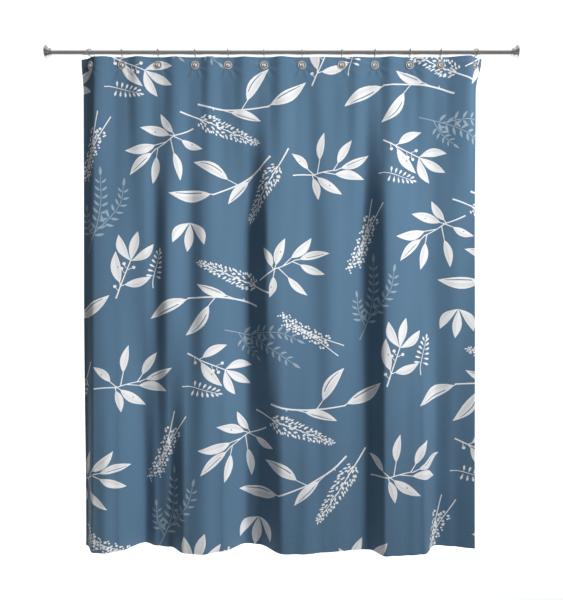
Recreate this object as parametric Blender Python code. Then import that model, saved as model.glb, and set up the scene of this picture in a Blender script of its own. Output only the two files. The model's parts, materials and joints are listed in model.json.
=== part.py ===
"""A gathered shower curtain on a straight rod between two walls.

The rod tube seats in a socket on each wall plate, a set screw locks it, and a bell-shaped
cover slides along the tube over each plate. Twelve open wire hooks ride on the tube. Each
carries one eyelet of the curtain, and the curtain is built as twelve strips, one on each hook.

Metres, +Z up. The origin is the centre of the left wall plate's back face, on the rod's axis.
+X runs along the rod to the right, and the viewer stands on the -Y side.
"""
import math

import bmesh
import bpy
from mathutils import Matrix, Vector

# rod and its two wall fittings
ROD_LENGTH = 1.795          # from wall to wall
TUBE_RADIUS = 0.0095
TUBE_WALL = 0.0010
PLATE_FLANGE = 0.0135       # what a plate reaches beyond the tube
PLATE_THICKNESS = 0.0030
SOCKET_DEPTH = 0.0120
SOCKET_WALL = 0.0025
COVER_FLANGE = 0.0177       # what a cover reaches beyond the tube
COVER_DEPTH = 0.0215
COVER_WALL = 0.0013
COLLAR_FLANGE = 0.0071      # what its collar reaches beyond the tube
SCREW_OUT = 0.0082          # from the tube's face to each wall screw
SCREW_RADIUS = 0.0019
SCREW_HEAD_RADIUS = 0.0034
SCREW_HEAD_HEIGHT = 0.0020
SET_SCREW_RADIUS = 0.0020

# hooks: centre line of bent wire, hung over the tube
HOOK_COUNT = 12
END_ROOM_LEFT = 0.1480      # bare tube between the left cover and the first hook
END_ROOM_RIGHT = 0.1388
GAP_SHARES = (0.0820, 0.0938, 0.0961, 0.0858, 0.0935, 0.0988, 0.1039, 0.0857, 0.0910, 0.0805, 0.0889)
END_YAW_LEFT = math.radians(-42)
END_YAW_RIGHT = math.radians(36)
WIRE_RADIUS = 0.00175
BALL_RADIUS = 0.0031
ARCH_FRONT = 0.0070         # room between the tube and the arch in front of it
ARCH_BACK = 0.0070
CROSS_ROOM = 0.0022         # room between the tube and the wire that crosses under it

# curtain and eyelets
CLOTH_DROP = 1.880          # height of the cloth
CLOTH_THICKNESS = 0.0012
EYELET_INSET = 0.0305       # from the top edge to an eyelet's centre
EYELET_RADIUS = 0.0160
EYELET_BORE = 0.0055
EYELET_BARREL_WALL = 0.0008
WASHER_RADIUS = 0.0150
LEFT_MARGIN = (0.0340, 0.0210)      # cloth beyond the end hooks, at the header and below it
RIGHT_MARGIN = (0.0310, 0.0050)
HEADER_BULGE = (0.010, 0.018, 0.015, 0.016, 0.014, 0.018, 0.009, 0.010, 0.016, 0.009, 0.008)

# fold depths as (share of the hung width, metres behind the rod's axis), halfway down and at the hem
MIDDLE_FOLDS = ((0.0, 0.020), (0.035, -0.012), (0.13, 0.012), (0.155, 0.010), (0.18, 0.018),
                (0.22, -0.012), (0.27, 0.012), (0.31, -0.010), (0.42, 0.038), (0.475, -0.028),
                (0.59, 0.004), (0.62, 0.0), (0.715, 0.026), (0.77, -0.034), (0.90, 0.016),
                (0.95, 0.006), (1.0, 0.014))
HEM_FOLDS = ((0.0, 0.045), (0.05, -0.028), (0.085, -0.009), (0.147, 0.072), (0.185, 0.042),
             (0.22, 0.032), (0.265, -0.030), (0.31, -0.036), (0.36, -0.009), (0.43, 0.058),
             (0.455, 0.052), (0.52, -0.035), (0.56, -0.035), (0.61, -0.018), (0.73, 0.008),
             (0.765, -0.053), (0.83, -0.042), (0.86, -0.034), (0.905, 0.044), (0.945, 0.034),
             (1.0, 0.015))

GAP = 0.0003                # clearance between pieces that touch on the real object
SIDES_ROD = 24
SIDES_COVER = 20
SIDES_SMALL = 12
SIDES_WIRE = 6
STRIP_COLUMNS = 3           # on each side of the flat cloth round an eyelet
STRIP_ROWS = 7              # below the header

# values worked out from those above
SOCKET_RADIUS = TUBE_RADIUS + GAP + SOCKET_WALL
PLATE_RADIUS = TUBE_RADIUS + PLATE_FLANGE
COVER_RADIUS = TUBE_RADIUS + COVER_FLANGE
COLLAR_RADIUS = TUBE_RADIUS + COLLAR_FLANGE
SCREW_CIRCLE = TUBE_RADIUS + SCREW_OUT
HOOK_TOP = TUBE_RADIUS + GAP + WIRE_RADIUS
HOOK_CROSS = TUBE_RADIUS + CROSS_ROOM + WIRE_RADIUS
CLOTH_TOP = -(HOOK_CROSS + WIRE_RADIUS + 0.0023)
EYELET_Z = CLOTH_TOP - EYELET_INSET
HOOK_SEAT = EYELET_Z + EYELET_BORE - WIRE_RADIUS - GAP
FLAT_HALF = EYELET_RADIUS + 0.002
HEADER_ZONE = EYELET_INSET + FLAT_HALF * 2

STEEL = ((0.62, 0.61, 0.60), 0.22, 1.0)
BRUSHED = ((0.50, 0.50, 0.49), 0.30, 1.0)
DARK_STEEL = ((0.30, 0.30, 0.31), 0.35, 1.0)
CLOTH_BLUE = ((0.118, 0.212, 0.328), 0.80, 0.0)


def hook_places():
    """X of each hook: the free tube between the covers, less the room at each end, in uneven gaps."""
    first = COVER_DEPTH + END_ROOM_LEFT
    spread = ROD_LENGTH - COVER_DEPTH - END_ROOM_RIGHT - first
    places = [first]
    for share in GAP_SHARES:
        places.append(places[-1] + spread * share / sum(GAP_SHARES))
    return places


def hook_yaw(index):
    """Turn of a hook about the vertical: only the end ones are turned outwards."""
    if index == 0:
        return END_YAW_LEFT
    return END_YAW_RIGHT if index == HOOK_COUNT - 1 else 0.0


HOOK_X = hook_places()


def ease(value):
    """Smooth step from 0 to 1."""
    value = min(1.0, max(0.0, value))
    return value * value * (3.0 - 2.0 * value)


def along(points, share):
    """Depth at a share of the width, eased from each fold point to the next."""
    for (start, low), (end, high) in zip(points, points[1:]):
        if share <= end:
            return low + (high - low) * ease((share - start) / (end - start))
    return points[-1][1]


def cloth_edge(index, drop):
    """X of the cloth's left (0) or right (-1) edge at a distance below its top edge."""
    top, below = LEFT_MARGIN if index == 0 else RIGHT_MARGIN
    margin = top + (below - top) * ease(drop / (HEADER_ZONE * 2))
    return HOOK_X[index] + (margin if index else -margin)


def header_depth(x):
    """Depth of the header: flat at each eyelet, and bowed towards the viewer between eyelets."""
    span = 0
    while span < HOOK_COUNT - 2 and x > HOOK_X[span + 1]:
        span += 1
    flats = [FLAT_HALF * math.cos(hook_yaw(i)) for i in (span, span + 1)]
    slopes = [math.tan(hook_yaw(i)) for i in (span, span + 1)]
    start, end = HOOK_X[span] + flats[0], HOOK_X[span + 1] - flats[1]
    if x <= start:
        return slopes[0] * (x - HOOK_X[span])
    if x >= end:
        return slopes[1] * (x - HOOK_X[span + 1])
    width = end - start
    t = (x - start) / width
    low, high = slopes[0] * flats[0], -slopes[1] * flats[1]
    curve = (low + (high - low) * ease(t) + slopes[0] * width * t * (1 - t) ** 2
             - slopes[1] * width * t * t * (1 - t))
    bulge = ease(t / 0.32) if t < 0.32 else 1.0 - ease((t - 0.32) / 0.68)
    return curve - HEADER_BULGE[span] * bulge


def cloth_depth(x, drop):
    """Y of the cloth's middle surface at x and at a distance below its top edge."""
    left, right = cloth_edge(0, drop), cloth_edge(-1, drop)
    share = (x - left) / (right - left)
    below = max(0.0, drop - HEADER_ZONE)
    length = CLOTH_DROP - HEADER_ZONE
    to_middle = ease(below / (length * 0.36))
    to_hem = ease((below / length - 0.40) / 0.60)
    folds = along(MIDDLE_FOLDS, share) * (1.0 - to_hem) + along(HEM_FOLDS, share) * to_hem
    return header_depth(x) * (1.0 - to_middle) + folds * to_middle


def remove_everything():
    for obj in list(bpy.data.objects):
        bpy.data.objects.remove(obj, do_unlink=True)


def make_object(name, bm, finish=None, parent=None, place=None):
    """Turn a bmesh into a named object with its own material, faces outwards."""
    bmesh.ops.recalc_face_normals(bm, faces=bm.faces)
    mesh = bpy.data.meshes.new(name)
    bm.to_mesh(mesh)
    bm.free()
    mesh.shade_smooth()
    mesh.set_sharp_from_angle(angle=math.radians(35))
    obj = bpy.data.objects.new(name, mesh)
    bpy.context.scene.collection.objects.link(obj)
    obj.parent = parent
    if place is not None:
        obj.matrix_basis = place
    if finish is not None:
        colour, roughness, metallic = finish
        material = bpy.data.materials.new(name + "_finish")
        material.use_nodes = True
        shader = material.node_tree.nodes["Principled BSDF"]
        shader.inputs["Base Color"].default_value = (*colour, 1.0)
        shader.inputs["Roughness"].default_value = roughness
        shader.inputs["Metallic"].default_value = metallic
        mesh.materials.append(material)
    return obj


def cutter(name, bm, place=None):
    """An object that only cuts others."""
    obj = make_object(name, bm, place=place)
    obj.hide_render = True
    obj.display_type = 'WIRE'
    return obj


def cut(obj, tool):
    boolean = obj.modifiers.new("cut", 'BOOLEAN')
    boolean.operation = 'DIFFERENCE'
    boolean.solver = 'EXACT'
    boolean.object = tool


def turned(profile, sides, closed=False, phase=0.0):
    """Solid turned about +X from (x, radius) points; a radius of 0 ends on the axis.
    The phase turns its corners by a part of a side."""
    bm = bmesh.new()
    rings = []
    for x, radius in profile:
        if radius == 0.0:
            rings.append([bm.verts.new((x, 0.0, 0.0))])
            continue
        angles = [2 * math.pi * (k + phase) / sides for k in range(sides)]
        rings.append([bm.verts.new((x, radius * math.cos(a), radius * math.sin(a))) for a in angles])
    pairs = list(zip(rings, rings[1:] + rings[:1])) if closed else list(zip(rings, rings[1:]))
    for first, second in pairs:
        for k in range(sides):
            n = (k + 1) % sides
            if len(first) == 1:
                bm.faces.new((first[0], second[k], second[n]))
            elif len(second) == 1:
                bm.faces.new((first[n], first[k], second[0]))
            else:
                bm.faces.new((first[k], second[k], second[n], first[n]))
    return bm


def rod(radius, start, end, sides):
    """Plain solid cylinder along +X, its corners off the lines of whatever it cuts."""
    return turned([(start, 0.0), (start, radius), (end, radius), (end, 0.0)], sides, phase=0.37)


def wall_frame(right):
    """Axes of a wall fitting: local +X leaves the wall and runs along the rod."""
    if right:
        return Matrix.Translation((ROD_LENGTH, 0, 0)) @ Matrix.Rotation(math.pi, 4, 'Z')
    return Matrix.Identity(4)


def make_tube():
    start, end = PLATE_THICKNESS + GAP, ROD_LENGTH - PLATE_THICKNESS - GAP
    inner = TUBE_RADIUS - TUBE_WALL
    profile = [(start, TUBE_RADIUS), (end, TUBE_RADIUS), (end, inner), (start, inner)]
    make_object("rod_tube", turned(profile, SIDES_ROD, closed=True), BRUSHED)


def screw_frames():
    """The two wall screws of a plate, above and below the rod."""
    return [Matrix.Translation((0, 0, side * SCREW_CIRCLE)) for side in (1, -1)]


def set_screw_frame():
    """The set screw points up at the tube from below, halfway along the socket."""
    middle = PLATE_THICKNESS + SOCKET_DEPTH / 2
    return Matrix.Translation((middle, 0, 0)) @ Matrix.Rotation(math.pi / 2, 4, 'Y')


def make_plate(side, frame):
    """Disc against the wall with a socket for the tube, two screw holes and a set-screw hole."""
    socket_end = PLATE_THICKNESS + SOCKET_DEPTH
    bore = TUBE_RADIUS + GAP
    chamfer = 0.0006
    profile = [(0, 0.0), (0, PLATE_RADIUS), (PLATE_THICKNESS - chamfer, PLATE_RADIUS),
               (PLATE_THICKNESS, PLATE_RADIUS - chamfer), (PLATE_THICKNESS, SOCKET_RADIUS),
               (socket_end, SOCKET_RADIUS), (socket_end, bore), (PLATE_THICKNESS, bore),
               (PLATE_THICKNESS, 0.0)]
    plate = make_object("wall_plate_" + side, turned(profile, SIDES_ROD), DARK_STEEL, place=frame)
    for number, place in enumerate(screw_frames(), 1):
        hole = rod(SCREW_RADIUS + GAP, -0.002, PLATE_THICKNESS + 0.002, SIDES_SMALL)
        cut(plate, cutter(f"hole_{side}_{number}", hole, frame @ place))
    hole = rod(SET_SCREW_RADIUS + GAP, TUBE_RADIUS - 0.001, SOCKET_RADIUS + 0.002, SIDES_SMALL)
    cut(plate, cutter(f"hole_{side}_set", hole, frame @ set_screw_frame()))


def make_screws(side, frame):
    """Two pan-head wall screws, cut at the wall's face, and the set screw that locks the tube."""
    head = PLATE_THICKNESS + GAP
    profile = [(GAP, 0.0), (GAP, SCREW_RADIUS), (head, SCREW_RADIUS), (head, SCREW_HEAD_RADIUS),
               (head + SCREW_HEAD_HEIGHT * 0.6, SCREW_HEAD_RADIUS),
               (head + SCREW_HEAD_HEIGHT, SCREW_HEAD_RADIUS * 0.6), (head + SCREW_HEAD_HEIGHT, 0.0)]
    for number, place in enumerate(screw_frames(), 1):
        screw = turned(profile, SIDES_SMALL)
        make_object(f"wall_screw_{side}_{number}", screw, DARK_STEEL, place=frame @ place)
    tip = TUBE_RADIUS + GAP
    set_screw = rod(SET_SCREW_RADIUS, tip, SOCKET_RADIUS + 0.0005, SIDES_SMALL)
    make_object("set_screw_" + side, set_screw, DARK_STEEL, place=frame @ set_screw_frame())


def cover_profile():
    """Bell-shaped shell from the wall to a beaded collar round the tube, outside then inside."""
    depth, rim, collar = COVER_DEPTH, COVER_RADIUS, COLLAR_RADIUS
    bell_end = depth - 0.0065
    neck = collar - 0.0016
    outside = [(GAP, rim - 0.0004), (0.0020, rim), (0.0038, rim - 0.0012)]
    for step in (0.3, 0.6, 0.85):
        radius = neck + (rim - 0.0012 - neck) * (1.0 - math.sin(step * math.pi / 2)) ** 0.9
        outside.append((0.0038 + (bell_end - 0.0038) * step, radius))
    outside += [(bell_end, neck), (bell_end + 0.0008, collar - 0.0003), (bell_end + 0.0022, collar),
                (bell_end + 0.0035, collar - 0.0010), (bell_end + 0.0042, collar - 0.0030),
                (depth - 0.0008, collar - 0.0042), (depth, collar - 0.0056)]
    bore = TUBE_RADIUS + GAP
    inside = [(depth, bore), (bell_end + 0.0022, bore), (bell_end + 0.0018, neck - COVER_WALL)]
    inside += [(x, radius - COVER_WALL) for x, radius in reversed(outside[1:6])]
    inside.append((GAP, rim - COVER_WALL - 0.0004))
    return outside + inside


def make_cover(side, frame):
    """The cover slides along the tube, so its parent stands on the rod's axis."""
    slider = bpy.data.objects.new("cover_slider_" + side, None)
    bpy.context.scene.collection.objects.link(slider)
    slider.matrix_basis = frame
    make_object("flange_cover_" + side, turned(cover_profile(), SIDES_COVER, closed=True), STEEL,
                parent=slider)


def hook_path():
    """Centre line of a hook in its own plane, (y, z): from behind the tube, over it, down in front,
    back under it, down behind the header and forward through the eyelet to a ball."""
    front, back = -(TUBE_RADIUS + ARCH_FRONT), TUBE_RADIUS + ARCH_BACK
    behind = CLOTH_THICKNESS / 2 + WIRE_RADIUS + 0.0040
    return [(back - 0.0012, -0.0085), (back, -0.0030), (back - 0.0004, 0.0030),
            (back - 0.0040, HOOK_TOP - 0.0040), (0.0045, HOOK_TOP - 0.0003), (-0.0030, HOOK_TOP + 0.0008),
            (front + 0.0055, HOOK_TOP - 0.0012), (front + 0.0008, HOOK_TOP - 0.0065),
            (front, -0.0010), (front + 0.0014, -0.0065), (front + 0.0062, -(HOOK_CROSS - 0.0022)),
            (-0.0035, -HOOK_CROSS), (0.0022, -HOOK_CROSS - 0.0006), (behind, CLOTH_TOP - 0.0020),
            (behind + 0.0008, CLOTH_TOP - 0.0120), (behind, HOOK_SEAT + 0.0060),
            (behind - 0.0024, HOOK_SEAT + 0.0010), (0.0, HOOK_SEAT), (-0.0032, HOOK_SEAT + 0.0001),
            (-0.0064, HOOK_SEAT + 0.0012)]


def swept_wire(path, radii):
    """Tube of SIDES_WIRE sides along a path in the YZ plane, closed by a point at each end."""
    bm = bmesh.new()
    rings = []
    points = [Vector((0.0, y, z)) for y, z in path]
    for number, centre in enumerate(points):
        before, after = points[max(number - 1, 0)], points[min(number + 1, len(points) - 1)]
        across = (after - before).normalized().cross(Vector((1, 0, 0)))
        ring = []
        for k in range(SIDES_WIRE):
            angle = 2 * math.pi * k / SIDES_WIRE
            side = Vector((1, 0, 0)) * math.sin(angle) + across * math.cos(angle)
            ring.append(bm.verts.new(centre + side * radii[number]))
        rings.append(ring)
    for first, second in zip(rings, rings[1:]):
        for k in range(SIDES_WIRE):
            n = (k + 1) % SIDES_WIRE
            bm.faces.new((first[k], first[n], second[n], second[k]))
    bm.faces.new(rings[0])
    bm.faces.new(rings[-1])
    return bm


def ball_end(path, radii, radius):
    """Lengthen a path by a ball that the wire runs into."""
    last, before = Vector(path[-1]), Vector(path[-2])
    forward = (last - before).normalized()
    for step in (0.35, 1.0, 1.65, 1.95):
        path.append(tuple(last + forward * radius * step))
        radii.append(radius * math.sqrt(max(0.1, 1.0 - (step - 1.0) ** 2)))


def make_hook(index, carrier):
    path = hook_path()
    radii = [WIRE_RADIUS] * len(path)
    ball_end(path, radii, BALL_RADIUS)
    place = Matrix.Rotation(hook_yaw(index), 4, 'Z')
    make_object(f"hook_{index + 1:02d}", swept_wire(path, radii), STEEL, carrier, place)


def eyelet_place(index):
    """Local +X of a turned eyelet points at the viewer, through the cloth."""
    turn = Matrix.Rotation(hook_yaw(index), 4, 'Z') @ Matrix.Rotation(-math.pi / 2, 4, 'Z')
    return Matrix.Translation((0, 0, EYELET_Z)) @ turn


def make_eyelet(index, carrier):
    """Front ring with its barrel through the cloth, and the washer it is clenched to behind."""
    face = CLOTH_THICKNESS / 2 + GAP
    barrel = EYELET_BORE + EYELET_BARREL_WALL
    rim, groove = EYELET_RADIUS, (EYELET_RADIUS + EYELET_BORE) / 2 + 0.0004
    front = [(-face - 0.0008, EYELET_BORE), (face + 0.0016, EYELET_BORE), (face + 0.0024, EYELET_BORE + 0.0018),
             (face + 0.0009, groove), (face + 0.0021, rim - 0.0024), (face + 0.0015, rim - 0.0006),
             (face, rim), (face, barrel), (-face - 0.0008, barrel)]
    place = eyelet_place(index)
    make_object(f"eyelet_{index + 1:02d}", turned(front, SIDES_SMALL, closed=True), STEEL, carrier, place)
    hole = barrel + GAP
    back = [(-face, hole), (-face, WASHER_RADIUS), (-face - 0.0006, WASHER_RADIUS), (-face - 0.0012, hole)]
    make_object(f"eyelet_washer_{index + 1:02d}", turned(back, SIDES_SMALL, closed=True), BRUSHED,
                carrier, place)


def strip_stations(index):
    """X stations of a strip at the header and below it; the header has one flat column at the eyelet."""
    seam = GAP / 2
    middle = HOOK_X[index]
    flat = FLAT_HALF * math.cos(hook_yaw(index))
    header_low = (HOOK_X[index - 1] + middle) / 2 + seam if index else cloth_edge(0, 0)
    header_high = ((middle + HOOK_X[index + 1]) / 2 - seam if index < HOOK_COUNT - 1
                   else cloth_edge(-1, 0))
    low, high = ([], [])
    for step in range(STRIP_COLUMNS + 1):
        share = step / STRIP_COLUMNS
        low.append(header_low + (middle - flat - header_low) * share)
        high.append(middle + flat + (header_high - middle - flat) * share)
    return low + high


def lower_stations(index, drop, count):
    """Evenly spaced stations of a strip well below the header."""
    seam = GAP / 2
    low = (HOOK_X[index - 1] + HOOK_X[index]) / 2 + seam if index else cloth_edge(0, drop)
    high = ((HOOK_X[index] + HOOK_X[index + 1]) / 2 - seam if index < HOOK_COUNT - 1
            else cloth_edge(-1, drop))
    return [low + (high - low) * k / (count - 1) for k in range(count)]


def make_strip(index, carrier, eyelet_cutter):
    """Cloth of one hook: a thin solid that follows the folds, with the eyelet's hole cut in it."""
    header = strip_stations(index)
    drops = [0.0, HEADER_ZONE]
    drops += [HEADER_ZONE + (CLOTH_DROP - HEADER_ZONE) * k / STRIP_ROWS for k in range(1, STRIP_ROWS + 1)]
    bm = bmesh.new()
    sheets = ([], [])
    for drop in drops:
        lower = lower_stations(index, drop, len(header))
        spread = ease((drop - HEADER_ZONE) / 0.25)
        rows = ([], [])
        for top_x, low_x in zip(header, lower):
            x = top_x + (low_x - top_x) * spread
            depth = cloth_depth(x, drop)
            step = 0.001
            slope = (cloth_depth(x + step, drop) - cloth_depth(x - step, drop)) / (2 * step)
            half = CLOTH_THICKNESS / 2 * math.hypot(1.0, slope)
            for row, side in zip(rows, (-half, half)):
                row.append(bm.verts.new((x - HOOK_X[index], depth + side, CLOTH_TOP - drop)))
        sheets[0].append(rows[0])
        sheets[1].append(rows[1])
    rows, columns = len(drops), len(header)
    for front in sheets:
        for r in range(rows - 1):
            for c in range(columns - 1):
                bm.faces.new((front[r][c], front[r][c + 1], front[r + 1][c + 1], front[r + 1][c]))
    close_border(bm, sheets, rows, columns)
    bmesh.ops.triangulate(bm, faces=bm.faces)
    strip = make_object(f"cloth_{index + 1:02d}", bm, CLOTH_BLUE, carrier)
    cut(strip, eyelet_cutter)


def close_border(bm, sheets, rows, columns):
    """Join the front and back sheets along their four edges."""
    front, back = sheets
    border = [(0, c) for c in range(columns)] + [(r, columns - 1) for r in range(1, rows)]
    border += [(rows - 1, c) for c in range(columns - 2, -1, -1)] + [(r, 0) for r in range(rows - 2, 0, -1)]
    for (r, c), (s, d) in zip(border, border[1:] + border[:1]):
        bm.faces.new((front[r][c], front[s][d], back[s][d], back[r][c]))


def make_eyelet_cutter():
    """All twelve holes of the header in one tool."""
    radius = EYELET_BORE + EYELET_BARREL_WALL + GAP
    bm = bmesh.new()
    for index, x in enumerate(HOOK_X):
        pin = rod(radius, -0.02, 0.02, SIDES_SMALL)
        mesh = bpy.data.meshes.new("pin")
        pin.transform(Matrix.Translation((x, 0, 0)) @ eyelet_place(index))
        pin.to_mesh(mesh)
        pin.free()
        bm.from_mesh(mesh)
        bpy.data.meshes.remove(mesh)
    return cutter("eyelet_holes", bm)


def make_carrier(index):
    """Empty on the rod's axis that one hook, its eyelet and its cloth hang from."""
    carrier = bpy.data.objects.new(f"carrier_{index + 1:02d}", None)
    bpy.context.scene.collection.objects.link(carrier)
    carrier.location = (HOOK_X[index], 0, 0)
    return carrier


def main():
    remove_everything()
    make_tube()
    for side, right in (("left", False), ("right", True)):
        frame = wall_frame(right)
        make_plate(side, frame)
        make_screws(side, frame)
        make_cover(side, frame)
    eyelet_cutter = make_eyelet_cutter()
    for index in range(HOOK_COUNT):
        carrier = make_carrier(index)
        make_hook(index, carrier)
        make_eyelet(index, carrier)
        make_strip(index, carrier, eyelet_cutter)


main()
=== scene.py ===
"""A printed cloth shower curtain on wire hooks, on a metal rod between two walls.

Metres, +Z up. The origin is the centre of the left wall plate's back face, on the rod's axis.
+X runs along the rod to the right, and the viewer stands on the -Y side. The cloth has its own
flat coordinates: u from its left edge and v down from its top edge.
"""
import json
import math

import bpy
import numpy as np
from bpy.props import FloatProperty, FloatVectorProperty, PointerProperty
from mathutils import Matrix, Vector
from mathutils.geometry import delaunay_2d_cdt


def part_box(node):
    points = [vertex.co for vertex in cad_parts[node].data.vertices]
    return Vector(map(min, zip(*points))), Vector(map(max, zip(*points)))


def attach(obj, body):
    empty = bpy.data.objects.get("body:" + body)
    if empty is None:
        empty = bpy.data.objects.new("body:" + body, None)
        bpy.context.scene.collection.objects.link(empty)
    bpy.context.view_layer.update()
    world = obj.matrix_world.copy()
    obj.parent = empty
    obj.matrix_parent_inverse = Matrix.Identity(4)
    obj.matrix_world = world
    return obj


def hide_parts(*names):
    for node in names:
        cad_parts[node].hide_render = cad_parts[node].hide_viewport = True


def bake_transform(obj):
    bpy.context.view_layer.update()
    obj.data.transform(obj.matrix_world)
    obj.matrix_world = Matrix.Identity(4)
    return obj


bl_info = {
    "name": "Shower Curtain",
    "version": (1, 0, 0),
    "blender": (4, 5, 0),
    "location": "3D View > Sidebar > Curtain",
    "description": "Builds a hung shower curtain with its rod, flange covers, hooks and eyelets",
    "category": "Add Mesh",
}

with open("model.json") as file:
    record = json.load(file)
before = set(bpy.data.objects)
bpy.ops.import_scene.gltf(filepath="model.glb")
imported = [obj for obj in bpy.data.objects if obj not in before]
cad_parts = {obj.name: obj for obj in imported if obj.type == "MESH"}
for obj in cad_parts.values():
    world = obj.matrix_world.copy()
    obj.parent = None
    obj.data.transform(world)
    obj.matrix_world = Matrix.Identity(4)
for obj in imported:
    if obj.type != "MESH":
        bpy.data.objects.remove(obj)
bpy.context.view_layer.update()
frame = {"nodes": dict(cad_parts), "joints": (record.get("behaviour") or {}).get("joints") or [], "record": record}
JOINTS = {joint["name"]: joint for joint in frame["joints"]}

# places that come from the frame
HOOKS = 12
ROD_LENGTH = float(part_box("wall_plate_right")[1][0])
TUBE_RADIUS = float(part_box("rod_tube")[1][2])


def hook_places():
    """X of each hook: the swing's hinge is the first, the inner eyelets' boxes are centred on
    theirs, and the last gap keeps the ratio in which its hook is drawn."""
    ratios = {c["joint"]: c["ratio"] for c in frame["record"]["behaviour"]["couplings"]}
    places = [JOINTS["curtain_swing"]["pos_m"][0]]
    for number in range(2, HOOKS):
        low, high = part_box(f"eyelet_{number:02d}")
        places.append(float(low[0] + high[0]) / 2)
    places.append(places[-1] + (places[1] - places[0]) * ratios[f"draw_{HOOKS}"])
    return np.array(places)


HOOK_X = hook_places()
PANELS = HOOKS - 1
HOOK_YAW = np.radians([-42.0] + [0.0] * (HOOKS - 2) + [36.0])

# cloth, as its solids have it
CLOTH_DROP = 1.880
CLOTH_WIDTH = 1.803
GAP = 0.0003
SOLID_THICKNESS = 0.0012
EYELET_INSET = 0.0305
EYELET_RADIUS = 0.0160
EYELET_BORE = 0.0055
BARREL_WALL = 0.0008
PAINTED_SHADE_RADII = (EYELET_BORE + 0.0036, EYELET_RADIUS - 0.0038)     # painted shade: a dark ring between the eyelet's two beads, where the hollow is shaded
WASHER_RADIUS = 0.0150
TOP_HEM = EYELET_INSET * 1.55
HEM_RAMP = 0.001                    # over which a hem's edge thickens the cloth
FLAT_HALF = EYELET_RADIUS + 0.002   # half width of the header's flat place at an eyelet
HEADER_ZONE = EYELET_INSET + FLAT_HALF * 2
LEFT_MARGIN = (0.0430, 0.0330)      # cloth beyond the end hooks, at the header and below it
RIGHT_MARGIN = (0.0310, 0.0050)
HEADER_BULGE = np.array((0.010, 0.018, 0.015, 0.016, 0.014, 0.018, 0.009, 0.010, 0.016, 0.009, 0.008))

HEADER_EASE = 0.62                  # share of its solid's bulge that the thin header keeps
EDGE_SLOPE = 0.45                   # how much of its turn the cloth past an end eyelet keeps

# fold depths as (share of the hung width, metres behind the rod's axis), halfway down and at the hem
MIDDLE_FOLDS = ((0.0, 0.020), (0.035, -0.012), (0.13, 0.012), (0.155, 0.010), (0.18, 0.018),
                (0.22, -0.012), (0.27, 0.012), (0.31, -0.010), (0.42, 0.038), (0.475, -0.028),
                (0.59, 0.004), (0.62, 0.0), (0.715, 0.026), (0.77, -0.034), (0.90, 0.016),
                (0.95, 0.006), (1.0, 0.014))
HEM_FOLDS = ((0.0, 0.046), (0.034, -0.022), (0.06, -0.026), (0.092, -0.010), (0.150, 0.072),
             (0.185, 0.042), (0.22, 0.032), (0.265, -0.030), (0.31, -0.036), (0.355, -0.009),
             (0.418, 0.064), (0.445, 0.056), (0.512, -0.035), (0.56, -0.035), (0.61, -0.018),
             (0.73, 0.008), (0.765, -0.053), (0.83, -0.042), (0.86, -0.034), (0.905, 0.044),
             (0.945, 0.034), (1.0, 0.015))

# ripples of hung cloth: radians per metre across and down, shift, height in metres
RIPPLES = ((31.0, 1.9, 0.4, 0.0011), (57.0, -2.7, 2.0, 0.0007), (17.0, 6.3, 1.1, 0.0009),
           (93.0, 4.1, 0.0, 0.0003))

# hook wire and fittings, as their solids have them
WIRE_RADIUS = 0.00175
BALL_RADIUS = 0.0038
BALL_STEPS = (0.12, 0.25, 0.42, 0.62, 0.82, 1.0, 1.2, 1.4, 1.6, 1.76, 1.88, 1.96)   # in its radius
ARCH_ROOM = 0.0070
CROSS_ROOM = 0.0022
PLATE_THICKNESS = 0.0030
TUBE_WALL = 0.0010
COVER_RADIUS = 0.0272
COVER_DEPTH = 0.0215
COVER_WALL = 0.0013
COLLAR_RADIUS = 0.0166
HOOK_TOP = TUBE_RADIUS + GAP + WIRE_RADIUS
HOOK_CROSS = TUBE_RADIUS + CROSS_ROOM + WIRE_RADIUS
CLOTH_TOP = -(HOOK_CROSS + WIRE_RADIUS + 0.0023)
EYELET_Z = CLOTH_TOP - EYELET_INSET
HOOK_SEAT = EYELET_Z + EYELET_BORE - WIRE_RADIUS - GAP

# how finely pieces are made
SIDES_TUBE = 72
SIDES_COVER = 96
SIDES_EYELET = 48
SIDES_WIRE = 14
EVEN = (1.0, 1.0, 1.0)              # a grain that isn't stretched

# inks, in the order of the cloth's materials
GROUND, WHITE, SHADE, PALE, THREAD, GROUND_BACK, PRINT_BACK = range(7)


# ---------------------------------------------------------------- settings

def size(name, text, default, low, high):
    return FloatProperty(name=name, description=text, default=default, min=low, max=high, unit='LENGTH')


def tint(name, text, *default):
    return FloatVectorProperty(name=name, description=text, default=default, size=3, subtype='COLOR')


def power(name, text, default):
    return FloatProperty(name=name, description=text, default=default, min=0.0, max=20000.0, unit='POWER')


class ClothSettings(bpy.types.PropertyGroup):
    """Cloth sizes and print colours."""
    thickness: size("Thickness", "Thickness of one layer of cloth", 0.0007, 0.0002, 0.001)
    hem: size("Bottom hem", "Height of the bottom hem", 0.050, 0.01, 0.10)
    side_hem: size("Side hem", "Width of each side hem", 0.012, 0.005, 0.05)
    sag: size("Header sag", "How far the top edge sinks between two hooks", 0.0004, 0.0, 0.02)
    crease: size("Crease", "Height of the pulled creases round an eyelet", 0.0016, 0.0, 0.005)
    ground: tint("Ground", "Colour of the unprinted cloth", 0.112, 0.207, 0.312)
    white: tint("White ink", "Colour of the leaves", 0.93, 0.93, 0.94)
    pale: tint("Pale ink", "Colour of the ferns", 0.37, 0.47, 0.55)


class MetalSettings(bpy.types.PropertyGroup):
    """Colours and polish of the metal pieces."""
    steel: tint("Steel", "Colour of the rod and the covers", 0.70, 0.69, 0.68)
    wire: tint("Wire", "Colour of the hooks", 0.56, 0.55, 0.53)
    eyelet: tint("Eyelet", "Colour of the eyelets", 0.72, 0.69, 0.66)
    polish: FloatProperty(name="Roughness", description="Roughness of the rod's brushed face",
                          default=0.24, min=0.02, max=1.0)


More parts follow.
